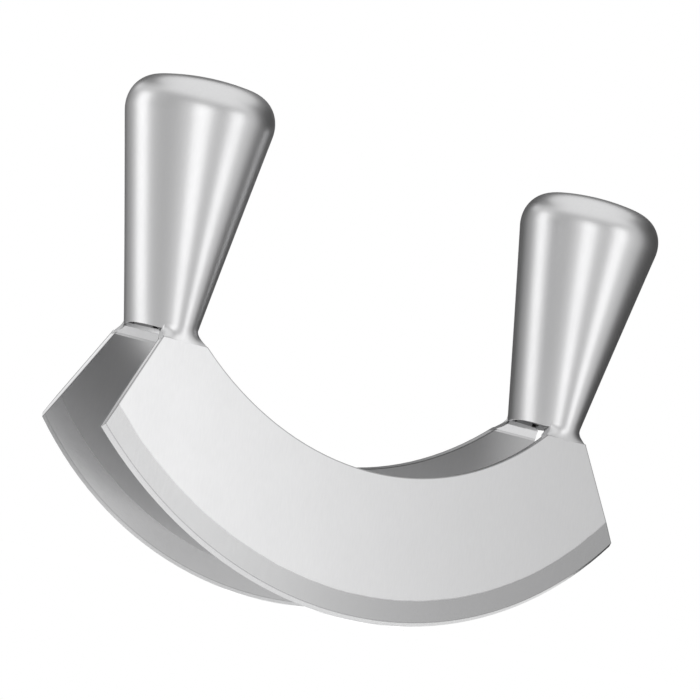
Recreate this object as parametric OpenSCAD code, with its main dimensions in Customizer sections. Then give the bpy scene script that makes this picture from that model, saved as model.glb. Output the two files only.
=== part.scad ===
// Double-bladed mezzaluna. Two rocking blades of sheet steel stand splayed apart, and two
// hollow knob handles, each pressed as two half shells, carry them by their necks.
// X runs along the blades, Y from the front blade to the rear one and Z up to the knobs.
// The origin is on the board, midway between the two cutting edges.

/* [Blades] */
// Straight distance between the two tips of a blade
tip_span = 180; // [150:1:210]
// Radius of the curved cutting edge
edge_r = 127; // [115:1:150]
// Height of the blade at its middle, from the cutting edge to the hollow arc
web_h = 42.2; // [32:0.2:50]
// Height of the neck's top above the tips, measured along the blade
neck_rise = 30.4; // [24:0.2:36]
// How far the end of the blade runs in from its tip to the neck
end_run = 16; // [12:0.2:20]
// Width of the neck where it meets the handle
neck_w = 10.6; // [9:0.2:12]
// Thickness of the sheet
blade_t = 2; // [1.4:0.1:2.4]
// Angle of each blade from upright
splay = 8.5; // [5:0.5:11]

/* [Ground edge] */
// Height of the ground band above the cutting edge
band_h = 7.3; // [5:0.1:10]
// How much the grinding takes off each face at the foot of the band
band_cut = 0.3; // [0.1:0.05:0.5]
// Height of the final bevel, ground on the outer face only
bevel_h = 1; // [0.6:0.1:1.6]
// Thickness left at the cutting edge
edge_t = 0.12; // [0.05:0.01:0.2]

/* [Necks] */
// Height of the step that sets the neck in under the handle's wall, filled flush by the weld
step_h = 2.7; // [2:0.1:3.6]
// Width of the tab that runs up inside the handle
tab_w = 6; // [4:0.2:7]
// Length of the tab above the rim
tab_h = 11; // [6:0.5:18]
// Room between the tab's outer face and the handle's wall
tab_gap = 0.3; // [0.2:0.05:0.6]
// Room between the neck's shoulders and the rim, filled by the weld
rim_gap = 2.4; // [2:0.1:2.5]
// How far the front of the foot stands proud of the blade's face at the rim
foot_proud = 0.3; // [0.15:0.05:0.6]
// How far the weld lies inside the neck's faces where it ends and at its back
weld_bite = 0.04; // [0.02:0.01:0.1]

/* [Handles] */
// Height of a handle from its rim to the edge of its crown
handle_h = 69.2; // [60:0.2:85]
// Width of the handle's oval foot along the blades
foot_w = 17.4; // [16:0.1:20]
// Depth of the handle's foot across the blades
foot_d = 26.8; // [24:0.2:32]
// Width of the knob along the blades, at the start of its shoulder
head_w = 41.6; // [34:0.2:50]
// Depth of the knob across the blades, at the start of its shoulder
head_d = 41.6; // [34:0.2:50]
// Radius of the knob's rounded shoulder
shoulder_r = 11.5; // [7:0.5:13]
// Outward lean of each handle
lean = 2; // [0:0.5:4]
// Wall of the pressed shells
wall = 1; // [0.8:0.1:1.4]
// Rise of the arch in the rim between the blades
arch_h = 0.5; // [0.3:0.1:1.2]

/* [Base plates] */
// Thickness of the plate that closes the handle's mouth
plate_t = 1.5; // [1:0.1:2.5]
// Distance of the plate above the rim
plate_in = 1.4; // [1.3:0.1:3]
// Room between the plate and what is round it
plate_gap = 0.1; // [0.05:0.05:0.3]

/* [Hidden] */

// One overrun serves every cut
over = 1;
// Points round each ring of a handle
ring_n = 60;
// Fineness of the blades' long arcs
arc_n = 360;
// Sizes of the crown's rings, as shares of the shoulder's last ring
crown_shares = [0.75, 0.5, 0.25, 0.06];
// Angles round the shoulder, from the flank up to the crown
shoulder_angles = [0, 13, 26, 39, 52, 65, 78];
// Levels of a weld, as shares of its sweep from the rim down to the blade's face
weld_level_shares = [1, 0.8, 0.6, 0.4, 0.2, 0];
// Shares of the step to which the weld's curve follows the handle's flank, and from which it
// follows the neck
flank_pull_share = 0.25;
neck_pull_share = 0.6;
// Places round a weld's outline: -1 and 1 are the neck's front corners, -2 and 2 its back ones
weld_turn_shares = [-2, -1, -0.8, -0.6, -0.4, -0.2, 0, 0.2, 0.4, 0.6, 0.8, 1, 2];

// Heights along the blade, from the bottom of the cutting edge
tip_h = edge_r - sqrt(edge_r * edge_r - tip_span * tip_span / 4);
neck_h = tip_h + neck_rise;
// The end's line, carried on down past the cutting edge
end_low_x = tip_span / 2 + end_run * (tip_h + over) / neck_rise;
// Edges and middle of the neck at the rim
neck_out_x = tip_span / 2 - end_run;
neck_in_x = neck_out_x - neck_w;
neck_x = neck_out_x - neck_w / 2;
// Outer end of the neck's shoulders, just under the rim
shoulder_x = neck_out_x + end_run * rim_gap / neck_rise;
// The hollow arc passes through the web's top and both necks' inner corners
hollow_rise = neck_h - web_h;
hollow_r = (neck_in_x * neck_in_x + hollow_rise * hollow_rise) / (2 * hollow_rise);
// Height of the rim that lets the cutting edges stand on the board
edge_in = blade_t - band_cut;
rim_z = neck_h * cos(splay) + edge_in * sin(splay);
// Distance of the blade's outer face from the middle plane, at the height of the rim
blade_y = foot_d / 2 - foot_proud;
// Distance of the tab's two faces from the middle plane: its edges clear the rounded wall
tab_out_y = (foot_d / 2 - wall) * sqrt(1 - pow(tab_w / (foot_w - 2 * wall), 2)) - tab_gap;
tab_in_y = tab_out_y - blade_t;
// Inward set of the neck's tab, and the step's own angle from upright
step_in = blade_y - tab_out_y;
step_a = atan2(step_in + step_h * sin(splay), step_h * cos(splay));
// Where the step's inner face bends into the tab, and its depth from the blade's outer face
top_mitre = blade_t * tan(step_a / 2);
step_back = (blade_t - weld_bite) / cos(step_a - splay);
// Depth across the blade that holds every bend of the neck
neck_reach = step_in + blade_t + tab_h * tan(splay) + over;
// Turn round the foot's oval, from its front to the neck's edge
corner_a = asin(neck_w / foot_w);
// Height of the handle's flank below its shoulder
flank_h = handle_h - shoulder_r;
// Turn at which the shoulder ends, and the low dome that goes on from there at the same slope
last_a = shoulder_angles[len(shoulder_angles) - 1];
crown_h = shoulder_half(foot_w, head_w, last_a, 0) * tan(90 - last_a) / 2;
// A block that holds one half of a handle
block = handle_h + crown_h + head_w + head_d;

// One ring of a handle: an oval at the height z
function ring(half_w, half_d, z) = [
    for (i = [0:ring_n - 1])
        let (t = (i + 0.5) * 360 / ring_n)
        [half_w * cos(t), half_d * sin(t), z]
];

// A ring's outline without its height
function flat(points) = [for (p = points) [p[0], p[1]]];

// Half a width or depth of the flank's straight taper, at the height z
function taper(foot, head, z) = (foot + (head - foot) * z / flank_h) / 2;

// Height and half size on the shoulder at the angle a, set in from the outside by inset
function shoulder_z(a, inset) = flank_h + (shoulder_r - inset) * sin(a);
function shoulder_half(foot, head, a, inset) =
    taper(foot, head, flank_h + shoulder_r * sin(a)) - shoulder_r + (shoulder_r - inset) * cos(a);

// All rings of a handle, from its rim to its crown, set in from the outside by inset
function handle_rings(inset) =
    let (
        rim = -over * sign(inset),
        last_w = shoulder_half(foot_w, head_w, last_a, inset),
        last_d = shoulder_half(foot_d, head_d, last_a, inset),
        last_z = shoulder_z(last_a, inset)
    )
    concat(
        [ring(taper(foot_w, head_w, rim) - inset, taper(foot_d, head_d, rim) - inset, rim)],
        [for (a = shoulder_angles)
            ring(shoulder_half(foot_w, head_w, a, inset), shoulder_half(foot_d, head_d, a, inset),
                shoulder_z(a, inset))],
        [for (k = crown_shares)
            ring(last_w * k, last_d * k, last_z + crown_h * (1 - k * k))]
    );

// Faces that join rings of n points in a stack of m, with a cap at each end
function stack_faces(n, m) = concat(
    [[for (i = [0:n - 1]) i]],
    [for (r = [0:m - 2], i = [0:n - 1])
        let (a = r * n + i, b = r * n + (i + 1) % n)
        [a, a + n, b + n]],
    [for (r = [0:m - 2], i = [0:n - 1])
        let (a = r * n + i, b = r * n + (i + 1) % n)
        [a, b + n, b]],
    [[for (i = [0:n - 1]) m * n - 1 - i]]
);

// The whole form of a handle on its own axis, set in from the outside by inset
module handle_form(inset) {
    rings = handle_rings(inset);
    polyhedron(points = [for (r = rings, p = r) p], faces = stack_faces(ring_n, len(rings)));
}

// Puts a handle's piece on its neck, left for side -1 and right for side 1
module at_handle(side) {
    translate([side * neck_x, 0, rim_z])
        rotate([0, side * lean, 0])
        children();
}

// The half of space on the front of the middle plane for face -1, or on its rear for face 1
module half_space(face) {
    translate([-block / 2, face < 0 ? -block : 0, -block / 2])
        cube(block);
}

// A point of the neck's profile: l below the rim along the blade and w in from the outer face
function on_blade(l, w) = [
    -l * sin(splay) + w * cos(splay),
    -l * cos(splay) - w * sin(splay)
];

// Profile of a blade seen from its end, from below the edge to the top of the tabs
module blade_profile() {
    low = neck_h + over;
    low_mitre = blade_t * tan((step_a - splay) / 2);
    polygon([
        on_blade(low, 0),
        on_blade(step_h, 0),
        [step_in, 0],
        [step_in, tab_h],
        [step_in + blade_t, tab_h],
        [step_in + blade_t, -top_mitre],
        on_blade(step_h + low_mitre, blade_t),
        on_blade(low, blade_t)
    ]);
}

// Outline of a blade in its own plane, with the tabs on its necks
module blade_outline() {
    difference() {
        intersection() {
            translate([0, edge_r])
                circle(r = edge_r, $fn = arc_n);
            polygon([
                [-end_low_x, -over],
                [end_low_x, -over],
                [shoulder_x, neck_h - rim_gap],
                [-shoulder_x, neck_h - rim_gap]
            ]);
        }
        translate([0, web_h + hollow_r])
            circle(r = hollow_r, $fn = arc_n);
    }
    for (side = [-1, 1])
        translate([side * neck_x - tab_w / 2, neck_h - neck_w / 2])
            square([tab_w, neck_w / 2 + tab_h / cos(splay)]);
}

// The ground edge, as the solid that a blade is cut out of: wide within the ground band,
// then thinned on both faces, then bevelled from the outer face to the cutting edge
module ground_disc() {
    band_r = edge_r - band_h;
    rotate_extrude($fn = arc_n)
        polygon([
            [0, -neck_reach],
            [band_r, -neck_reach],
            [band_r, 0],
            [edge_r - bevel_h, band_cut],
            [edge_r, edge_in - edge_t],
            [edge_r, edge_in],
            [edge_r - bevel_h, edge_in],
            [band_r, blade_t],
            [band_r, neck_reach],
            [0, neck_reach]
        ]);
}

// Puts a shape on the front blade: x along it, z up it and y in from its outer face
module on_front_blade() {
    translate([0, -blade_y, rim_z])
        rotate([-splay, 0, 0])
        translate([0, 0, -neck_h])
        children();
}

module blade_form() {
    intersection() {
        on_front_blade()
            rotate([90, 0, 0])
            linear_extrude(2 * neck_reach, center = true)
            blade_outline();
        on_front_blade()
            translate([0, 0, edge_r])
            rotate([-90, 0, 0])
            ground_disc();
        translate([0, -blade_y, rim_z])
            rotate([90, 0, 90])
            linear_extrude(tip_span + 2 * over, center = true)
            blade_profile();
    }
}

module blade(face) {
    color("#c9cacc")
        mirror([0, face > 0 ? 1 : 0, 0])
        blade_form();
}

// One pressed half of a handle
module handle_shell(side, face) {
    arch_half = tab_in_y;
    arch_r = (arch_half * arch_half + arch_h * arch_h) / (2 * arch_h);
    color("#b9babc")
        at_handle(side)
        difference() {
            intersection() {
                handle_form(0);
                half_space(face);
            }
            handle_form(wall);
            translate([0, 0, arch_h - arch_r])
                rotate([0, 90, 0])
                cylinder(r = arch_r, h = foot_w + 2 * over, center = true, $fn = arc_n);
        }
}

// Plate that closes the mouth of a handle between the two tabs
module base_plate(side) {
    plate_half = tab_in_y - plate_gap;
    mouth = ring(taper(foot_w, head_w, plate_in) - wall - plate_gap,
        taper(foot_d, head_d, plate_in) - wall - plate_gap, 0);
    color("#8f9194")
        at_handle(side)
        translate([0, 0, plate_in])
        linear_extrude(plate_t)
        intersection() {
            polygon(flat(mouth));
            translate([-foot_w / 2, -plate_half])
                square([foot_w, 2 * plate_half]);
        }
}

// The weld's outline at the rim, as shares of the foot's half width and half depth: round the
// front of the oval between the neck's edges, then straight back to the tab's inner face
function foot_turn(u) =
    let (
        a = sign(u) * min(1, abs(u)) * corner_a,
        deep = max(0, abs(u) - 1)
    )
    [sin(a), cos(a) + deep * (2 * tab_in_y / foot_d - cos(corner_a))];

// The right handle's flank carried on down below its rim, at the share s of the step
function flank_below(s, u) =
    let (
        k = foot_turn(u),
        z = -s * step_h * cos(splay),
        x = k[0] * taper(foot_w, head_w, z)
    )
    [
        neck_x + x * cos(lean) + z * sin(lean),
        -k[1] * taper(foot_d, head_d, z),
        rim_z - x * sin(lean) + z * cos(lean)
    ];

// The front blade's own neck at the share s of the step: across its face, then back along
// its two edges
function neck_below(s, u) =
    let (
        l = s * step_h,
        out_x = neck_out_x + end_run * l / neck_rise,
        in_x = sqrt(hollow_r * hollow_r - pow(hollow_r - hollow_rise + l, 2)),
        half_x = (out_x - in_x) / 2 - weld_bite,
        across = sign(u) * min(1, abs(foot_turn(u)[0]) / sin(corner_a)),
        deep = max(0, abs(u) - 1),
        p = on_blade(l, weld_bite + deep * (step_back - weld_bite))
    )
    [(out_x + in_x) / 2 + across * half_x, p[0] - blade_y, p[1] + rim_z];

// A point of the weld's surface: a cubic curve that leaves the rim along the handle's flank
// and ends along the neck, at the share k of its sweep. The back follows the step's inner face
function weld_point(k, u) =
    let (
        p = pow(1 - k, 3) * flank_below(0, u)
            + 3 * pow(1 - k, 2) * k * flank_below(flank_pull_share, u)
            + 3 * (1 - k) * k * k * neck_below(neck_pull_share, u)
            + pow(k, 3) * neck_below(1, u),
        drop = max(0, rim_z - p[2] - top_mitre)
    )
    abs(u) < 2 || k == 1 ? p : [p[0], -tab_in_y - weld_bite - drop * tan(step_a), p[2]];

// Ground weld that fills the step, in a concave sweep from the blade's face into the handle
module weld_form() {
    difference() {
        polyhedron(points = [for (k = weld_level_shares, u = weld_turn_shares) weld_point(k, u)],
            faces = stack_faces(len(weld_turn_shares), len(weld_level_shares)));
        blade_form();
    }
}

module weld(side, face) {
    color("#a7a8aa")
        mirror([side < 0 ? 1 : 0, 0, 0])
        mirror([0, face > 0 ? 1 : 0, 0])
        weld_form();
}

blade(-1);  // front_blade
blade(1);  // rear_blade
handle_shell(-1, -1);  // left_handle_front_shell
handle_shell(-1, 1);  // left_handle_rear_shell
handle_shell(1, -1);  // right_handle_front_shell
handle_shell(1, 1);  // right_handle_rear_shell
base_plate(-1);  // left_handle_base_plate
base_plate(1);  // right_handle_base_plate
weld(-1, -1);  // left_front_weld
weld(-1, 1);  // left_rear_weld
weld(1, -1);  // right_front_weld
weld(1, 1);  // right_rear_weld
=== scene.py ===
"""Double-bladed mezzaluna in stainless steel: splayed brushed blades under satin knob handles.

The blades and the base plates are the CAD solids with better finishes. The handles' half
shells and the ground welds are smooth surfaces from the same formulas as the solids.
Sizes are in millimetres and become metres in the meshes."""

import math

import bpy
import numpy as np
from mathutils import Matrix, Vector


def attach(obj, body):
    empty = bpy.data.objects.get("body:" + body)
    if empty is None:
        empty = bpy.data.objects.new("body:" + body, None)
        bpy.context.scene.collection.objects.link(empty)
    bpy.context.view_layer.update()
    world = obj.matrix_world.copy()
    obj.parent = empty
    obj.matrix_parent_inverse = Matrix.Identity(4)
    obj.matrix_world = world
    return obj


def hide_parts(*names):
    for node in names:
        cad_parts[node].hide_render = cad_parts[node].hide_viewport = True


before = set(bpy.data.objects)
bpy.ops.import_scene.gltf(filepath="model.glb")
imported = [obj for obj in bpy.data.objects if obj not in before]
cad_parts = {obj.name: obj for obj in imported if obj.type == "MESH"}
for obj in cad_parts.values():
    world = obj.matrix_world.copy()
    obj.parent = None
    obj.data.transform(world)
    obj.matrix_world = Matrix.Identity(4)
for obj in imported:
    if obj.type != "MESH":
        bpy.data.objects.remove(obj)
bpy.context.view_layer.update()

MM = 0.001
# Keeps a division by a zero length from failing
TINY = 1e-12
# Points that are the same when rounded to this many metres become one vertex
SAME_PLACE = 1e-7

# Blades, as in the solids
TIP_SPAN, EDGE_R, WEB_H, NECK_RISE = 180.0, 127.0, 42.2, 30.4
END_RUN, NECK_W, BLADE_T, SPLAY = 16.0, 10.6, 2.0, math.radians(8.5)
BAND_H, BAND_CUT, BEVEL_H = 7.3, 0.3, 1.0
STEP_H, TAB_GAP, FOOT_PROUD = 2.7, 0.3, 0.3

# Handles, as in the solids
HANDLE_H, FOOT_W, FOOT_D, HEAD_W, HEAD_D = 69.2, 17.4, 26.8, 41.6, 41.6
SHOULDER_R, SHOULDER_END, LEAN, WALL = 11.5, math.radians(78), math.radians(2), 1.0
ARCH_H, TAB_W = 0.5, 6.0
# Keep the smooth knobs and their crowns just inside the solids' faceted ones
TRIM, CROWN_TRIM = 0.9985, 0.99
# How far up the handle the arch in its rim still lifts the rings
ARCH_FADE = 6.0
# Rings up the flank, round the shoulder and over the crown, and steps round half a ring
FLANK_N, SHOULDER_N, CROWN_N, HALF_RING_N = 60, 28, 22, 120

# Ground welds as they look: how far each runs up the handle and down the neck, where its
# curve leaves the flank and the neck, and how far it wraps round the neck's outer and inner
# edges
WELD_UP, WELD_DOWN, FLANK_PULL, NECK_PULL = 1.8, 4.2, 0.7, 1.7
WRAP_OUT, WRAP_IN = math.radians(2), math.radians(1.5)
# How far the weld's skin stands over the handle's and lies under the neck's
SKIN_PROUD, SKIN_BITE = 0.02, 0.01
# Shares by which it runs less far up and down where it ends round the neck's edges
UP_FADE, DOWN_FADE = 0.8, 0.3
# Shares of its curve, and of the neck's half width, over which its normals go over into the
# blade's
FACE_SHARE, CORNER_SHARE = 5 / 8, 1 / 6
# Points down its curve, round each edge, across the neck, and through its foot and its top
WELD_N, EDGE_N, FACE_N, CLOSE_N = 24, 14, 49, 3

# Places worked out from the sizes
TIP_H = EDGE_R - math.sqrt(EDGE_R**2 - TIP_SPAN**2 / 4)
NECK_H = TIP_H + NECK_RISE
NECK_OUT_X = TIP_SPAN / 2 - END_RUN
NECK_IN_X = NECK_OUT_X - NECK_W
NECK_X = NECK_OUT_X - NECK_W / 2
HOLLOW_RISE = NECK_H - WEB_H
HOLLOW_R = (NECK_IN_X**2 + HOLLOW_RISE**2) / (2 * HOLLOW_RISE)
RIM_Z = NECK_H * math.cos(SPLAY) + (BLADE_T - BAND_CUT) * math.sin(SPLAY)
BLADE_Y = FOOT_D / 2 - FOOT_PROUD
TAB_OUT_Y = (FOOT_D / 2 - WALL) * math.sqrt(1 - (TAB_W / (FOOT_W - 2 * WALL)) ** 2) - TAB_GAP
TAB_IN_Y = TAB_OUT_Y - BLADE_T
ARCH_R = (TAB_IN_Y**2 + ARCH_H**2) / (2 * ARCH_H)
CORNER_A = math.asin(NECK_W / FOOT_W)
FLANK_H = HANDLE_H - SHOULDER_R
SLOPE_W, SLOPE_D = (HEAD_W - FOOT_W) / 2 / FLANK_H, (HEAD_D - FOOT_D) / 2 / FLANK_H
CROWN_SLOPE = math.tan(math.pi / 2 - SHOULDER_END)
STEP_IN = BLADE_Y - TAB_OUT_Y
STEP_A = math.atan2(STEP_IN + STEP_H * math.sin(SPLAY), STEP_H * math.cos(SPLAY))
TOP_MITRE = BLADE_T * math.tan(STEP_A / 2)


def knob_profile(inset):
    """Half width, half depth and height of a knob's rings, each with its rate of change along
    the profile: a straight taper, a rolled shoulder of one radius, and a low dome that falls
    with the square of the radius."""
    z = np.linspace(0, FLANK_H, FLANK_N)
    one = np.ones_like(z)
    flank = [FOOT_W / 2 + SLOPE_W * z - inset, FOOT_D / 2 + SLOPE_D * z - inset, z,
             SLOPE_W * one, SLOPE_D * one, one]
    a = np.linspace(0, SHOULDER_END, SHOULDER_N)[1:]
    r = SHOULDER_R - inset
    zs = FLANK_H + SHOULDER_R * np.sin(a)
    roll = r * np.cos(a) - SHOULDER_R
    shoulder = [FOOT_W / 2 + SLOPE_W * zs + roll, FOOT_D / 2 + SLOPE_D * zs + roll,
                FLANK_H + r * np.sin(a), SLOPE_W * SHOULDER_R * np.cos(a) - r * np.sin(a),
                SLOPE_D * SHOULDER_R * np.cos(a) - r * np.sin(a), r * np.cos(a)]
    k = np.linspace(1, 0, CROWN_N)[1:]
    last_w, last_d, last_z = shoulder[0][-1], shoulder[1][-1], shoulder[2][-1]
    crown_h = CROWN_TRIM * (last_w + inset) * CROWN_SLOPE / 2
    crown = [last_w * k, last_d * k, last_z + crown_h * (1 - k * k),
             -last_w + 0 * k, -last_d + 0 * k, 2 * crown_h * k]
    return [np.concatenate(v) for v in zip(flank, shoulder, crown)]


def knob_skin(inset, turn):
    """Points (w cos t, d sin t, z) of a knob's skin and the exact normals there: the cross
    product of the rate round the ring and the rate along the profile."""
    w, d, z, dw, dd, dz = (v[:, None] for v in knob_profile(inset))
    w, d, dw, dd = w * TRIM, d * TRIM, dw * TRIM, dd * TRIM
    c, s = np.cos(turn)[None], np.sin(turn)[None]
    points = np.stack([w * c, d * s, z + 0 * c], -1)
    size = np.maximum(np.maximum(w, d), TINY)
    w_share, d_share = w / size, d / size
    n = np.stack([d_share * c * dz, w_share * s * dz,
                  -(w_share * dd * s * s + d_share * dw * c * c)], -1)
    n[-1] = 0, 0, 1
    return points, n / np.linalg.norm(n, axis=-1, keepdims=True)


def grid_normals(points):
    """Unit normals of a grid of points: the cross product of its two central differences."""
    across, along = np.gradient(points, axis=1), np.gradient(points, axis=0)
    n = np.cross(across, along)
    size = np.linalg.norm(n, axis=-1, keepdims=True)
    return n / np.maximum(size, TINY)


def grid_quads(rows, cols, start):
    """Corner numbers of a grid's quads, wound so that they face along grid_normals."""
    i = np.arange(rows * cols).reshape(rows, cols) + start
    return np.stack([i[:-1, :-1], i[:-1, 1:], i[1:, 1:], i[1:, :-1]], -1).reshape(-1, 4)


def put_object(name, data):
    """An object with this data, in the scene."""
    item = bpy.data.objects.new(name, data)
    bpy.context.scene.collection.objects.link(item)
    return item


def put_mesh(name, patches, material):
    """Joins grids of points, each with its normals, into one closed mesh. Equal points
    become one vertex, and a corner that repeats another of its face is left out. The borders
    between the grids are sharp edges."""
    points = np.concatenate([p.reshape(-1, 3) for p, _ in patches]) * MM
    normals = np.concatenate([n.reshape(-1, 3) for _, n in patches])
    starts = np.cumsum([0] + [p.shape[0] * p.shape[1] for p, _ in patches])
    grids = [grid_quads(*p.shape[:2], s) for (p, _), s in zip(patches, starts)]
    quads = np.concatenate(grids)
    patch = np.repeat(np.arange(len(grids)), [len(g) for g in grids])
    _, first, same = np.unique(np.round(points / SAME_PLACE).astype(np.int64), axis=0,
                               return_index=True, return_inverse=True)
    merged = same.reshape(-1)[quads]
    keep = merged != np.roll(merged, 1, axis=1)
    faces_ok = keep.sum(1) >= 3
    quads, merged, keep, patch = (v[faces_ok] for v in (quads, merged, keep, patch))
    sizes = keep.sum(1)
    loop_starts = np.concatenate([[0], np.cumsum(sizes)[:-1]])
    mesh = bpy.data.meshes.new(name)
    mesh.vertices.add(len(first))
    mesh.vertices.foreach_set("co", points[first].astype(np.float32).ravel())
    mesh.loops.add(int(sizes.sum()))
    mesh.loops.foreach_set("vertex_index", merged[keep].astype(np.int32))
    mesh.polygons.add(len(sizes))
    mesh.polygons.foreach_set("loop_start", loop_starts.astype(np.int32))
    mesh.polygons.foreach_set("loop_total", sizes.astype(np.int32))
    mesh.update(calc_edges=True)
    edge = np.empty(len(mesh.loops), np.int32)
    mesh.loops.foreach_get("edge_index", edge)
    lowest, highest = np.full(len(mesh.edges), len(grids)), np.full(len(mesh.edges), -1)
    np.minimum.at(lowest, edge, np.repeat(patch, sizes))
    np.maximum.at(highest, edge, np.repeat(patch, sizes))
    mesh.edges.foreach_set("use_edge_sharp", lowest != highest)
    mesh.polygons.foreach_set("use_smooth", np.ones(len(sizes), bool))
    mesh.normals_split_custom_set(normals[quads][keep])
    mesh.validate()
    mesh.materials.append(material)
    piece = put_object(name, mesh)
    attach(piece, "root")
    return piece


def lean_out(vectors, side):
    """Turns vectors by the handle's outward lean about the Y axis."""
    c, s = math.cos(side * LEAN), math.sin(side * LEAN)
    return vectors @ np.array([[c, 0, s], [0, 1, 0], [-s, 0, c]]).T


def at_handle(points, side):
    """Leans points outward and puts them on the neck."""
    return lean_out(points, side) + np.array([side * NECK_X, 0, RIM_Z])


def shell_patches(side, face):
    """One pressed half of a knob: its outer skin, its inner skin set in by the wall, the rim
    between them and the flat seam on the middle plane. The rim rises in an arc between the
    blades."""
    t = np.linspace(math.pi, 2 * math.pi, HALF_RING_N + 1)
    skins = []
    for inset in (0.0, WALL):
        p, n = knob_skin(inset, t)
        rise = np.sqrt(np.maximum(ARCH_R**2 - p[0, :, 1] ** 2, 0)) - ARCH_R + ARCH_H
        p[:, :, 2] += np.maximum(rise, 0)[None] * np.clip(1 - p[:, :1, 2] / ARCH_FADE, 0, 1)
        p[:, (0, -1), 1] = 0
        skins.append((p, n))
    (outer, outer_n), (inner, inner_n) = skins
    flip = np.array([1, -face, 1])
    patches = [(outer, outer_n), (inner[:, ::-1], -inner_n[:, ::-1])]
    for p in (np.stack([inner[0], outer[0]]), np.stack([outer[:, 0], inner[:, 0]], 1),
              np.stack([inner[:, -1], outer[:, -1]], 1)):
        patches.append((p, grid_normals(p)))
    patches = [(at_handle(p * flip, side), lean_out(n * flip, side)) for p, n in patches]
    return [(p[:, ::-1], n[:, ::-1]) for p, n in patches] if face > 0 else patches


def foot_turn(u):
    """Sine and cosine of the turn round the foot's oval at the place u of a weld's outline:
    from -1 to 1 between the neck's front corners, then a little further round."""
    wrap = np.where(u > 0, WRAP_OUT, -WRAP_IN)
    a = np.clip(u, -1, 1) * CORNER_A + np.maximum(0, np.abs(u) - 1) * wrap
    return np.sin(a), np.cos(a)


def on_blade(l, w):
    """Y and Z of a point l below the rim along the front blade and w in from its face."""
    return (-l * math.sin(SPLAY) + w * math.cos(SPLAY) - BLADE_Y,
            -l * math.cos(SPLAY) - w * math.sin(SPLAY) + RIM_Z)


def on_flank(z, u, proud=0.0):
    """A point of the handle's flank at the height z above its rim, or carried on below it."""
    kx, ky = foot_turn(u)
    return at_handle(np.stack([kx * ((FOOT_W / 2 + SLOPE_W * z) * TRIM + proud),
                               -ky * ((FOOT_D / 2 + SLOPE_D * z) * TRIM + proud),
                               z + 0 * u], -1), 1)


def inner_y(z):
    """Where the neck's inner face is at a height: upright inside the handle, slanting at the
    step, then along the blade."""
    drop = np.maximum(0, RIM_Z - z - TOP_MITRE)
    along = (RIM_Z - z) * math.tan(SPLAY) + BLADE_Y - BLADE_T / math.cos(SPLAY)
    return -np.minimum(TAB_IN_Y + drop * math.tan(STEP_A), np.maximum(along, TAB_IN_Y))


def on_neck(l, u):
    """The blade's own neck, l below the rim: across its face, then straight back along its two
    edges to its inner face."""
    out_x = NECK_OUT_X + END_RUN * l / NECK_RISE
    in_x = np.sqrt(HOLLOW_R**2 - (HOLLOW_R - HOLLOW_RISE + l) ** 2)
    y, z = on_blade(l, SKIN_BITE)
    deep = np.maximum(0, np.abs(u) - 1)
    return np.stack([(out_x + in_x) / 2 + np.clip(u, -1, 1) * ((out_x - in_x) / 2 - SKIN_BITE),
                     y + deep * (inner_y(z) - y), z + 0 * u], -1)


def weld_patches(side, face):
    """A ground weld: at each place u round the foot a cubic curve leaves the handle's skin a
    little above the rim, runs on down, and ends along the blade's neck. A back that follows
    the step's inner face, a foot and a top close it."""
    u = np.concatenate([np.linspace(-2, -1, EDGE_N)[:-1], np.linspace(-1, 1, FACE_N),
                        np.linspace(1, 2, EDGE_N)[1:]])
    k = np.linspace(1, 0, WELD_N)[:, None, None]
    deep = np.maximum(0, np.abs(u) - 1)
    up, down = 1 - UP_FADE * deep, 1 - DOWN_FADE * deep
    front = ((1 - k) ** 3 * on_flank(WELD_UP * up, u, SKIN_PROUD)
             + 3 * (1 - k) ** 2 * k * on_flank(-FLANK_PULL * up, u)
             + 3 * (1 - k) * k**2 * on_neck(NECK_PULL * down, u)
             + k**3 * on_neck(WELD_DOWN * down, u))
    back = np.linspace(front[:, -1], front[:, 0], len(u), axis=1)
    back[:, 1:-1, 1] = np.maximum(back[:, 1:-1, 1], inner_y(back[:, 1:-1, 2]) + SKIN_PROUD)
    foot = np.linspace(back[0, ::-1], front[0], CLOSE_N)
    top = np.linspace(front[-1], back[-1, ::-1], CLOSE_N)
    patches = [(p, grid_normals(p)) for p in (front, back, foot, top)]
    # The lower end lies along the blade's face, so it takes the face's own normal there
    near = (np.clip(1 - (1 - k) / FACE_SHARE, 0, 1) ** 2
            * np.clip((1 - np.abs(u)) / CORNER_SHARE, 0, 1)[:, None])
    n = (1 - near) * patches[0][1] + near * np.array([0, -math.cos(SPLAY), math.sin(SPLAY)])
    patches[0] = (front, n / np.linalg.norm(n, axis=-1, keepdims=True))
    tilt = np.where(back[:, :, 2] < RIM_Z - TOP_MITRE, STEP_A, 0.0)
    patches[1] = (back, np.stack([0 * tilt, np.cos(tilt), -np.sin(tilt)], -1))
    sign = np.array([side, -face, 1])
    if side * -face < 0:
        return [((p * sign)[:, ::-1], (n * sign)[:, ::-1]) for p, n in patches]
    return [(p * sign, n * sign) for p, n in patches]


def node_group(name, inputs, outputs):
    """An empty shader group with its sockets, and the nodes that bring them in and out."""
    tree = bpy.data.node_groups.new(name, "ShaderNodeTree")
    for way, sockets in (("INPUT", inputs), ("OUTPUT", outputs)):
        for label, kind in sockets:
            tree.interface.new_socket(label, in_out=way, socket_type="NodeSocket" + kind)
    given, out = tree.nodes.new("NodeGroupInput"), tree.nodes.new("NodeGroupOutput")
    return tree, given.outputs, out.inputs


def new_material(name):
    """A material and its node tree."""
    material = bpy.data.materials.new(name)
    material.use_nodes = True
    return material, material.node_tree


def feed(tree, socket, value):
    """Links a socket to another one, or writes a plain value on it."""
    if isinstance(value, bpy.types.NodeSocket):
        tree.links.new(value, socket)
    elif value is not None:
        socket.default_value = value


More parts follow.
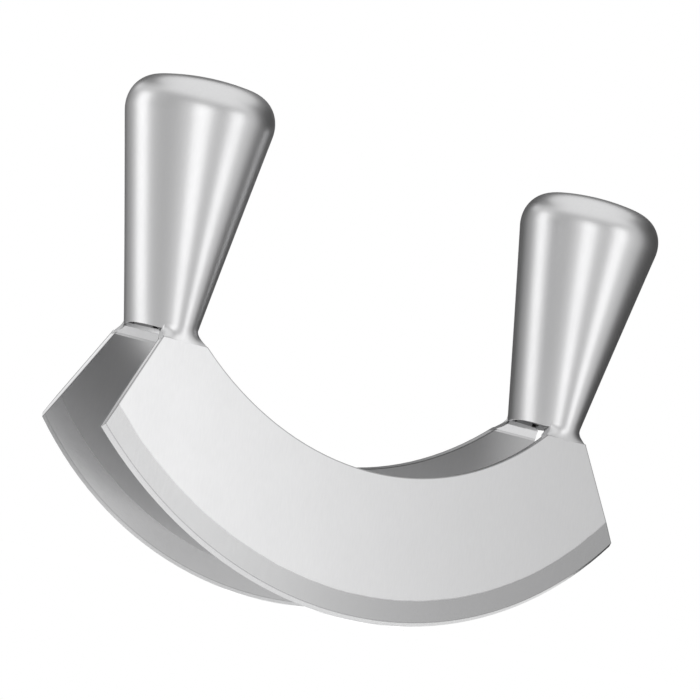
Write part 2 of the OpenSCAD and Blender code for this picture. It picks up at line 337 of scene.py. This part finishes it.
def add_group(tree, group):
    """A node that runs a shader group."""
    node = tree.nodes.new("ShaderNodeGroup")
    node.node_tree = group
    return node


def maths(tree, operation, a, b=None, c=None):
    """The result of one operation on numbers."""
    node = tree.nodes.new("ShaderNodeMath")
    node.operation = operation
    for socket, value in zip(node.inputs, (a, b, c)):
        feed(tree, socket, value)
    return node.outputs[0]


def blend(tree, mask, low, high):
    """The value low where the mask is 0, high where it is 1."""
    return maths(tree, "MULTIPLY_ADD", mask, maths(tree, "SUBTRACT", high, low), low)


def noise(tree, vector, scale, detail):
    """Noise from 0 to 1, about 0.5 on average."""
    node = tree.nodes.new("ShaderNodeTexNoise")
    feed(tree, node.inputs["Vector"], vector)
    node.inputs["Scale"].default_value = scale
    node.inputs["Detail"].default_value = detail
    return node.outputs["Fac"]


def ramp_up(tree, value, low, high):
    """A smooth step from 0 at low to 1 at high."""
    node = tree.nodes.new("ShaderNodeMapRange")
    node.interpolation_type = "SMOOTHSTEP"
    for socket, v in zip(node.inputs, (value, low, high)):
        feed(tree, socket, v)
    return node.outputs[0]


def ramp_mm(tree, value, low, high):
    """A smooth step of a length, from 0 at low to 1 at high, both in millimetres."""
    return ramp_up(tree, value, low * MM, high * MM)


def mapped(tree, vector, move=(0, 0, 0), scale=(1, 1, 1)):
    """A vector that is scaled and then moved."""
    node = tree.nodes.new("ShaderNodeMapping")
    feed(tree, node.inputs["Vector"], vector)
    node.inputs["Location"].default_value = move
    node.inputs["Scale"].default_value = scale
    return node.outputs[0]


def parts_of(tree, vector):
    """The parts X, Y and Z of a vector."""
    node = tree.nodes.new("ShaderNodeSeparateXYZ")
    feed(tree, node.inputs[0], vector)
    return node.outputs


def length_of(tree, vector):
    """The length of a vector."""
    node = tree.nodes.new("ShaderNodeVectorMath")
    node.operation = "LENGTH"
    feed(tree, node.inputs[0], vector)
    return node.outputs["Value"]


def scaled_colour(tree, colour, amount):
    """A colour times a number."""
    node = tree.nodes.new("ShaderNodeVectorMath")
    node.operation = "SCALE"
    feed(tree, node.inputs[0], colour)
    feed(tree, node.inputs["Scale"], amount)
    return node.outputs[0]


# Roughness changes with the grain by this many times as much as the colour
ROUGH_CHANGE = -2

# Colours of the steel
BLADE_COLOUR, HANDLE_COLOUR, PLATE_COLOUR = (0.74, 0.74, 0.745), (0.70, 0.70, 0.705), (0.42, 0.42, 0.425)
# Tones of a blade, as factors on its colour: in the ground band, on the final bevel, on the
# inner side, darker as painted shade between the blades, and in its band, at the bent top of
# the neck, darker as painted shade under the handle's rim, on the narrow ends, paler as a
# painted highlight, along the broken edges and along the rims of the narrow faces, both dark
# lines of painted shade. The line above the bevel is darker by LINE_DROP
BAND_TONE, BEVEL_TONE, INNER_SHADE_TONE, INNER_BAND_TONE = 0.66, 0.85, 0.74, 0.72
UNDER_RIM_SHADE_TONE, END_HIGHLIGHT_TONE, EDGE_SHADE_TONE, RIM_SHADE_TONE, LINE_DROP = 0.55, 1.28, 0.5, 0.45, 0.22
# Shares by which the ground band and the narrow ends are less rough
BAND_SMOOTH, END_SMOOTH = 0.25, 0.5
# Parts of a face's normal between which it counts more and more as an inner side, as a broad
# side and as a narrow end
INNER_SIDE, BROAD_SIDE, NARROW_END = (0.3, 0.6), (0.5, 0.7), (0.75, 0.85)
# Borders of the tones in millimetres: how soft the band's is and how far it wanders, how soft
# the bevel's is, how fast the painted shade at the top of the neck comes in, and where the
# line, the broken edges and the dark rims fade out, as distances from their middle or from
# the sheet's faces
BAND_BLUR, BAND_WANDER, BEVEL_BLUR, UNDER_RIM_SHADE_FADE = 0.25, 0.5, 0.05, 0.4
LINE_FADE, BROKEN_FADE, RIM_FADE = (0.02, 0.2), (0.12, 0.38), (0.5, 0.25)


def make_steel_grain():
    """Grain of worked steel: fine streaks along the stretched vector and soft clouds by place.
    They vary the colour and the roughness, and the streaks give a height."""
    tree, given, out = node_group(
        "steel_grain",
        [("Streak Vector", "Vector"), ("Place", "Vector"), ("Colour", "Color"),
         ("Roughness", "Float"), ("Streaks", "Float"), ("Clouds", "Float")],
        [("Colour", "Color"), ("Roughness", "Float"), ("Height", "Float")])
    streak = maths(tree, "SUBTRACT", noise(tree, given["Streak Vector"], scale=1, detail=4), 0.5)
    cloud = maths(tree, "SUBTRACT", noise(tree, given["Place"], scale=70, detail=2), 0.5)
    change = maths(tree, "ADD", maths(tree, "MULTIPLY", streak, given["Streaks"]),
                   maths(tree, "MULTIPLY", cloud, given["Clouds"]))
    feed(tree, out["Colour"], scaled_colour(tree, given["Colour"], maths(tree, "ADD", change, 1)))
    feed(tree, out["Roughness"], maths(tree, "MULTIPLY", given["Roughness"],
                                       maths(tree, "MULTIPLY_ADD", change, ROUGH_CHANGE, 1)))
    feed(tree, out["Height"], streak)
    return tree


def make_ground_band():
    """Masks of a blade's ground band, of its final bevel and of the line where that starts, by
    the distance from the cutting edge's centre. The band's border wanders a little, as ground
    by hand. A last mask follows the blade's broken edges: its two ends, from the distance to
    their slanting lines, and its hollow arc, from the distance to that arc's own centre."""
    tree, given, out = node_group(
        "ground_band",
        [("From Centre", "Vector"), ("From Hollow Centre", "Vector")],
        [("Band", "Float"), ("Bevel", "Float"), ("Line", "Float"), ("Broken Edge", "Float")])
    radius = length_of(tree, given["From Centre"])
    band_r, bevel_r = EDGE_R - BAND_H, EDGE_R - BEVEL_H
    wander = maths(tree, "SUBTRACT", noise(tree, given["From Centre"], scale=190, detail=2), 0.5)
    border = maths(tree, "MULTIPLY_ADD", wander, BAND_WANDER * MM, radius)
    feed(tree, out["Band"], ramp_mm(tree, border, band_r - BAND_BLUR, band_r + BAND_BLUR))
    feed(tree, out["Bevel"], ramp_mm(tree, radius, bevel_r - BEVEL_BLUR, bevel_r + BEVEL_BLUR))
    away = maths(tree, "ABSOLUTE", maths(tree, "SUBTRACT", radius, bevel_r * MM))
    feed(tree, out["Line"], maths(tree, "SUBTRACT", 1, ramp_mm(tree, away, *LINE_FADE)))
    parts = parts_of(tree, given["From Centre"])
    slant = END_RUN / NECK_RISE
    tip = (TIP_SPAN / 2 - slant * (EDGE_R - TIP_H)) * MM
    end = maths(tree, "SUBTRACT", maths(tree, "SUBTRACT", tip, maths(tree, "ABSOLUTE", parts["X"])),
                maths(tree, "MULTIPLY", parts["Z"], slant / math.cos(SPLAY)))
    end = maths(tree, "MULTIPLY", end, 1 / math.hypot(1, slant))
    arc = maths(tree, "SUBTRACT", length_of(tree, given["From Hollow Centre"]), HOLLOW_R * MM)
    near = maths(tree, "MINIMUM", maths(tree, "ABSOLUTE", end), maths(tree, "ABSOLUTE", arc))
    feed(tree, out["Broken Edge"], maths(tree, "SUBTRACT", 1, ramp_mm(tree, near, *BROKEN_FADE)))
    return tree


STEEL_GRAIN, GROUND_BAND = make_steel_grain(), make_ground_band()


def grained_steel(name, colour, roughness, stretch, streaks, clouds, bump):
    """Steel with its grain: the stretch is how many streaks there are to a metre each way, and
    the bump is how deep they look in millimetres."""
    material, tree = new_material(name)
    shader = tree.nodes["Principled BSDF"]
    shader.inputs["Metallic"].default_value = 1
    place = tree.nodes.new("ShaderNodeTexCoord").outputs["Object"]
    grain = add_group(tree, STEEL_GRAIN)
    for label, value in (("Streak Vector", mapped(tree, place, scale=stretch)),
                         ("Place", place), ("Colour", (*colour, 1)), ("Roughness", roughness),
                         ("Streaks", streaks), ("Clouds", clouds)):
        feed(tree, grain.inputs[label], value)
    feed(tree, shader.inputs["Base Color"], grain.outputs["Colour"])
    feed(tree, shader.inputs["Roughness"], grain.outputs["Roughness"])
    height = tree.nodes.new("ShaderNodeBump")
    height.inputs["Distance"].default_value = bump * MM
    feed(tree, height.inputs["Height"], grain.outputs["Height"])
    feed(tree, shader.inputs["Normal"], height.outputs[0])
    return material, tree, shader, grain, place


def blade_steel(name, face):
    """A blade's steel: upright grain, a darker and smoother ground band along the edge, a
    paler final bevel and painted shade along the broken edges, all on the broad sides. Their
    masks are measured from the cutting edge's centre, which lies in the blade's outer face,
    and from the hollow arc's. The inner side is darker, a painted shade between the blades.
    The narrow faces have dark rims of painted shade, found by the depth in the sheet. The
    narrow ends are paler, a painted highlight, and smoother, and the bent top of the neck
    under the handle's rim is darker, a painted shade."""
    material, tree, shader, grain, place = grained_steel(
        name, BLADE_COLOUR, roughness=0.34, stretch=(2300, 2300, 55), streaks=0.07, clouds=0.03,
        bump=0.002)
    band = add_group(tree, GROUND_BAND)
    centred = []
    for socket, height in zip(band.inputs, (EDGE_R, WEB_H + HOLLOW_R)):
        over = height - NECK_H
        centre = np.array([0, face * (BLADE_Y - over * math.sin(SPLAY)),
                           RIM_Z + over * math.cos(SPLAY)]) * MM
        centred.append(mapped(tree, place, move=tuple(-centre)))
        feed(tree, socket, centred[-1])

    facing = parts_of(tree, place.node.outputs["Normal"])
    inner = ramp_up(tree, maths(tree, "MULTIPLY", facing["Y"], -face), *INNER_SIDE)
    broad = ramp_up(tree, maths(tree, "ABSOLUTE", facing["Y"]), *BROAD_SIDE)
    # The narrow ends are painted paler, a painted highlight, and are also made smoother
    ends = ramp_up(tree, maths(tree, "ABSOLUTE", facing["X"]), *NARROW_END)
    # The broken edges get painted shade: dark lines where rounded edges would reflect the dark
    banded, bevelled, lined, broken = (maths(tree, "MULTIPLY", mask, broad) for mask in band.outputs)
    parts = parts_of(tree, centred[0])
    depth = maths(tree, "MULTIPLY_ADD", parts["Z"], -math.sin(SPLAY),
                  maths(tree, "MULTIPLY", parts["Y"], -face * math.cos(SPLAY)))
    off_middle = maths(tree, "ABSOLUTE", maths(tree, "SUBTRACT", depth, BLADE_T / 2 * MM))
    # The rims of the narrow faces get painted shade: dark lines where rounded edges would reflect the
    # dark
    rim = maths(tree, "MULTIPLY", ramp_mm(tree, off_middle, *(BLADE_T / 2 - v for v in RIM_FADE)),
                maths(tree, "SUBTRACT", 1, broad))
    # Painted shade on the bent top of the neck, under the handle's rim
    under_rim_shade = ramp_mm(tree, parts_of(tree, place)["Z"], RIM_Z - STEP_H, RIM_Z - STEP_H + UNDER_RIM_SHADE_FADE)

    # The inner side is painted darker: painted shade between the two blades
    tone = blend(tree, banded, blend(tree, inner, 1, INNER_SHADE_TONE),
                 blend(tree, inner, BAND_TONE, INNER_BAND_TONE))
    tone = maths(tree, "MULTIPLY_ADD", bevelled, BEVEL_TONE - BAND_TONE, tone)
    tone = maths(tree, "MULTIPLY_ADD", lined, -LINE_DROP, tone)
    for mask, factor in ((broken, EDGE_SHADE_TONE), (rim, RIM_SHADE_TONE), (under_rim_shade, UNDER_RIM_SHADE_TONE), (ends, END_HIGHLIGHT_TONE)):
        tone = maths(tree, "MULTIPLY", tone, blend(tree, mask, 1, factor))
    feed(tree, shader.inputs["Base Color"], scaled_colour(tree, grain.outputs["Colour"], tone))
    rough = maths(tree, "MULTIPLY_ADD", banded, -BAND_SMOOTH, 1)
    rough = maths(tree, "MULTIPLY_ADD", ends, -END_SMOOTH, rough)
    feed(tree, shader.inputs["Roughness"], maths(tree, "MULTIPLY", grain.outputs["Roughness"], rough))
    return material


handle_steel = grained_steel("satin_handle_steel", HANDLE_COLOUR, roughness=0.31,
                             stretch=(1700, 1700, 160), streaks=0.05, clouds=0.05, bump=0.001)[0]
weld_steel = grained_steel("ground_weld_steel", HANDLE_COLOUR, roughness=0.33,
                           stretch=(1500, 1500, 700), streaks=0.08, clouds=0.06, bump=0.002)[0]
plate_steel = grained_steel("base_plate_steel", PLATE_COLOUR, roughness=0.45,
                            stretch=(900, 900, 900), streaks=0.1, clouds=0.1, bump=0.002)[0]

for side, side_name in ((-1, "left"), (1, "right")):
    for face, face_name in ((-1, "front"), (1, "rear")):
        node = f"{side_name}_handle_{face_name}_shell"
        piece = put_mesh(f"{side_name}_{face_name}_half_shell", shell_patches(side, face),
                         handle_steel)
        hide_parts(node)
        node = f"{side_name}_{face_name}_weld"
        piece = put_mesh(f"{side_name}_{face_name}_ground_weld", weld_patches(side, face),
                         weld_steel)
        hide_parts(node)


def finish_node(node, material):
    """Gives a solid that stays in view its finish."""
    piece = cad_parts[node]
    piece.data.materials.clear()
    piece.data.materials.append(material)


finish_node("front_blade", blade_steel("brushed_front_blade_steel", -1))
finish_node("rear_blade", blade_steel("brushed_rear_blade_steel", 1))
finish_node("left_handle_base_plate", plate_steel)
finish_node("right_handle_base_plate", plate_steel)


# Camera at the photo's place: turned, a little below level and rolled. Its sensor and lens
# are in millimetres, and it sees from 1 cm to 20 m
CAM_AZ, CAM_EL, CAM_ROLL = math.radians(-34.453), math.radians(-3.834), math.radians(12.177)
CAM_TARGET = Vector((-5.174, 0, 75.16)) * MM
CAM_DISTANCE = 1000.97 * MM
SENSOR, LENS, CAM_NEAR, CAM_FAR = 36, 180, 0.01, 20


def towards(azimuth, elevation):
    """The unit vector from the object towards a direction in radians: azimuth 0 is the front
    and 90 degrees the right."""
    flat = math.cos(elevation)
    return Vector((math.sin(azimuth) * flat, -math.cos(azimuth) * flat, math.sin(elevation)))


back = towards(CAM_AZ, CAM_EL)
right = (-back).cross(Vector((0, 0, 1))).normalized()
up = right.cross(-back)
cam_x = math.cos(CAM_ROLL) * right + math.sin(CAM_ROLL) * up
cam_y = -math.sin(CAM_ROLL) * right + math.cos(CAM_ROLL) * up
cam_data = bpy.data.cameras.new("camera")
cam_data.sensor_width, cam_data.lens = SENSOR, LENS
cam_data.clip_start, cam_data.clip_end = CAM_NEAR, CAM_FAR
camera = put_object("camera", cam_data)
camera.matrix_world = (Matrix.Translation(CAM_TARGET + back * CAM_DISTANCE)
                       @ Matrix((cam_x, cam_y, back)).transposed().to_4x4())
bpy.context.scene.camera = camera


def put_stage(name, points, material, glow):
    """A grid of points as a piece of the studio, with a number at each point."""
    rows, cols = points.shape[:2]
    mesh = bpy.data.meshes.new(name)
    mesh.from_pydata(points.reshape(-1, 3).tolist(), [], grid_quads(rows, cols, 0).tolist())
    mesh.polygons.foreach_set("use_smooth", np.ones(len(mesh.polygons), bool))
    attribute = mesh.attributes.new("glow", "FLOAT", "POINT")
    attribute.data.foreach_set("value", glow.astype(np.float32).ravel())
    mesh.materials.append(material)
    stage = put_object(name, mesh)
    return stage


def point_glow(tree):
    """The number that a piece of the studio keeps at each point."""
    node = tree.nodes.new("ShaderNodeAttribute")
    node.attribute_name = "glow"
    return node.outputs["Fac"]


def white_seen(tree, low, high):
    """A strength that is high for the camera, reflections and refractions, and low for light
    that the surface gives off to others."""
    path = tree.nodes.new("ShaderNodeLightPath").outputs
    seen = maths(tree, "MAXIMUM", path["Is Camera Ray"],
                 maths(tree, "MAXIMUM", path["Is Glossy Ray"], path["Is Transmission Ray"]))
    return blend(tree, seen, low, high)


# Floor: an oval disc, from its middle outward, a hair under the cutting edges
FLOOR_W, FLOOR_D, FLOOR_RINGS, FLOOR_SPOKES = 170.0, 125.0, 41, 121
# Its paint and its glow in the middle, the share of the glow that the camera sees on top of
# it, and how far the paint's specks change it
FLOOR_TONE, FLOOR_GLOW, FLOOR_GAIN, FLOOR_SPECK = 0.8, 0.62, 0.2, (0.99, 1.01)
FLOOR_ROUGHNESS, FLOOR_GLOSS = 0.9, 0.1
# Where it starts to go over into the white, and how far that takes, as shares of its radius
WHITE_START, WHITE_RUN = 0.55, 0.4


def floor_material():
    """Pale matt floor that glows faintly where it is seen, more so towards its border, so that
    it fades into the white background and keeps the object's shadow."""
    material, tree = new_material("pale_floor")
    shader = tree.nodes["Principled BSDF"]
    shader.inputs["Roughness"].default_value = FLOOR_ROUGHNESS
    shader.inputs["Specular IOR Level"].default_value = FLOOR_GLOSS
    edge = point_glow(tree)
    place = tree.nodes.new("ShaderNodeTexCoord").outputs["Object"]
    speck = blend(tree, noise(tree, place, scale=900, detail=2), *FLOOR_SPECK)
    paint = maths(tree, "MULTIPLY", speck, blend(tree, edge, FLOOR_TONE, 0))
    feed(tree, shader.inputs["Base Color"], scaled_colour(tree, (1, 1, 1), paint))
    glow = blend(tree, edge, FLOOR_GLOW, 1)
    feed(tree, shader.inputs["Emission Color"], scaled_colour(tree, (1, 1, 1), glow))
    to_camera = tree.nodes.new("ShaderNodeLightPath").outputs["Is Camera Ray"]
    feed(tree, shader.inputs["Emission Strength"],
         maths(tree, "MULTIPLY_ADD", to_camera, FLOOR_GAIN, white_seen(tree, 0, 1)))
    return material


def surround_material():
    """Grey cloth round the set, lit evenly from behind."""
    material, tree = new_material("surround_cloth")
    tree.nodes.clear()
    light = tree.nodes.new("ShaderNodeEmission")
    feed(tree, light.inputs["Strength"], point_glow(tree))
    feed(tree, tree.nodes.new("ShaderNodeOutputMaterial").inputs["Surface"], light.outputs[0])
    return material


def fade_in(value, start, run):
    """0 up to the start, 1 from a run beyond it, and straight between."""
    return np.clip((value - start) / run, 0, 1)


share = np.linspace(0, 1, FLOOR_RINGS)[:, None]
turn = np.linspace(0, 2 * math.pi, FLOOR_SPOKES)[None]
disc = np.stack([FLOOR_W * share * np.cos(turn), FLOOR_D * share * np.sin(turn),
                 0 * share * turn], -1)
white = fade_in(share, WHITE_START, WHITE_RUN)
rim_glow = white**2 * (3 - 2 * white) + 0 * turn
put_stage("floor", disc[::-1] * MM, floor_material(), rim_glow[::-1])

# Surround: a round screen of grey cloth, open above. Its tone goes by azimuth, with a darker
# belt over the front boxes. Above that it is pale in front and dark behind, and at the top it
# is pale all round. A pale patch behind on the left is there for the blades' narrow ends.
# Elevations are seen from TENT_MID above the floor, and all angles are in degrees.
TENT_R, TENT_LOW, TENT_TOP, TENT_MID = 620.0, -200.0, 1200.0, 100.0
TENT_SPOKES, TENT_LEVELS = 361, 141
TONES = ((-180, .10), (-175, .14), (-168, .33), (-155, .34), (-148, .56), (-140, .76), (-112, .76),
         (-100, .58), (-84, .52), (-68, .58), (-56, .76), (-20, .74), (-8, .60), (4, .60), (10, .74),
         (32, .80), (42, .74), (55, .64), (62, .46), (68, .20), (80, .09), (110, .06), (128, .10),
         (139, .14), (152, .09), (180, .10))
BELT_TONES = ((-95, 1), (-70, .46), (30, .46), (50, 1))
BELT_STARTS, BELT_RUN = ((-60, 22), (-30, 22), (20, 23), (40, 30)), 5
HIGH_TONES, HIGH_START, HIGH_RUN = ((-150, .22), (-100, 1), (40, 1), (75, .22)), 31, 10
TOP_TONE, TOP_START, TOP_RUN = 0.9, 42, 8
# The patch: its middle, the degrees to a unit each way, how many units it reaches from its
# middle, of which the last one fades out, and its tone
PATCH_AZ, PATCH_EL, PATCH_W, PATCH_H, PATCH_REACH, PATCH_TONE = -157, 25, 11, 6, 1.75, 0.95


def by_azimuth(azimuth, table):
    """Values read off a table of azimuths and values."""
    return np.interp(azimuth, *zip(*table))


turn = np.radians(np.linspace(-180, 180, TENT_SPOKES))[None]
rise = np.linspace(TENT_LOW, TENT_TOP, TENT_LEVELS)[:, None]
tent = np.stack([TENT_R * np.sin(turn) + 0 * rise, -TENT_R * np.cos(turn) + 0 * rise,
                 rise + 0 * turn], -1)
azimuth, elevation = np.degrees(turn), np.degrees(np.arctan2(rise - TENT_MID, TENT_R))
tone = by_azimuth(azimuth, TONES)
belt_tone = np.minimum(tone, by_azimuth(azimuth, BELT_TONES))
belt = fade_in(elevation, by_azimuth(azimuth, BELT_STARTS), BELT_RUN)
high = fade_in(elevation, HIGH_START, HIGH_RUN)
tone = tone * (1 - belt) + belt_tone * belt
tone = tone * (1 - high) + by_azimuth(azimuth, HIGH_TONES) * high
tone = np.maximum(tone, fade_in(elevation, TOP_START, TOP_RUN) * TOP_TONE)
off_patch = np.hypot((azimuth - PATCH_AZ) / PATCH_W, (elevation - PATCH_EL) / PATCH_H)
tone = np.maximum(tone, np.clip(PATCH_REACH - off_patch, 0, 1) * PATCH_TONE)
put_stage("surround", tent[:, ::-1] * MM, surround_material(), tone[:, ::-1]).visible_camera = False

# Soft boxes: how far away they stand and how low they reach
BOX_DISTANCE, BOX_LOW = 590, -120


def soft_box(name, azimuth, width, high, radiance):
    """An upright soft box that faces the object from an azimuth in degrees and reaches up to
    the height high."""
    data = bpy.data.lights.new(name, "AREA")
    data.shape, data.size, data.size_y = "RECTANGLE", width * MM, (high - BOX_LOW) * MM
    data.energy = radiance * math.pi * data.size * data.size_y
    light = put_object(name, data)
    out = towards(math.radians(azimuth), 0)
    light.location = out * BOX_DISTANCE * MM + Vector((0, 0, (high + BOX_LOW) / 2 * MM))
    light.rotation_euler = (-out).to_track_quat("-Z", "Y").to_euler()
    light.visible_camera = False


soft_box("left_box", azimuth=-126, width=230, high=330, radiance=0.84)
soft_box("front_box", azimuth=-34, width=250, high=330, radiance=0.88)
soft_box("right_box", azimuth=20, width=230, high=400, radiance=0.80)

# White background, half as strong as a light
WORLD_LIGHT, WORLD_SEEN = 0.5, 1
scene = bpy.context.scene
scene.view_settings.view_transform = "Standard"
world = bpy.data.worlds.new("studio")
scene.world = world
world.use_nodes = True
background = world.node_tree.nodes["Background"]
background.inputs["Color"].default_value = (1, 1, 1, 1)
feed(world.node_tree, background.inputs["Strength"],
     white_seen(world.node_tree, WORLD_LIGHT, WORLD_SEEN))
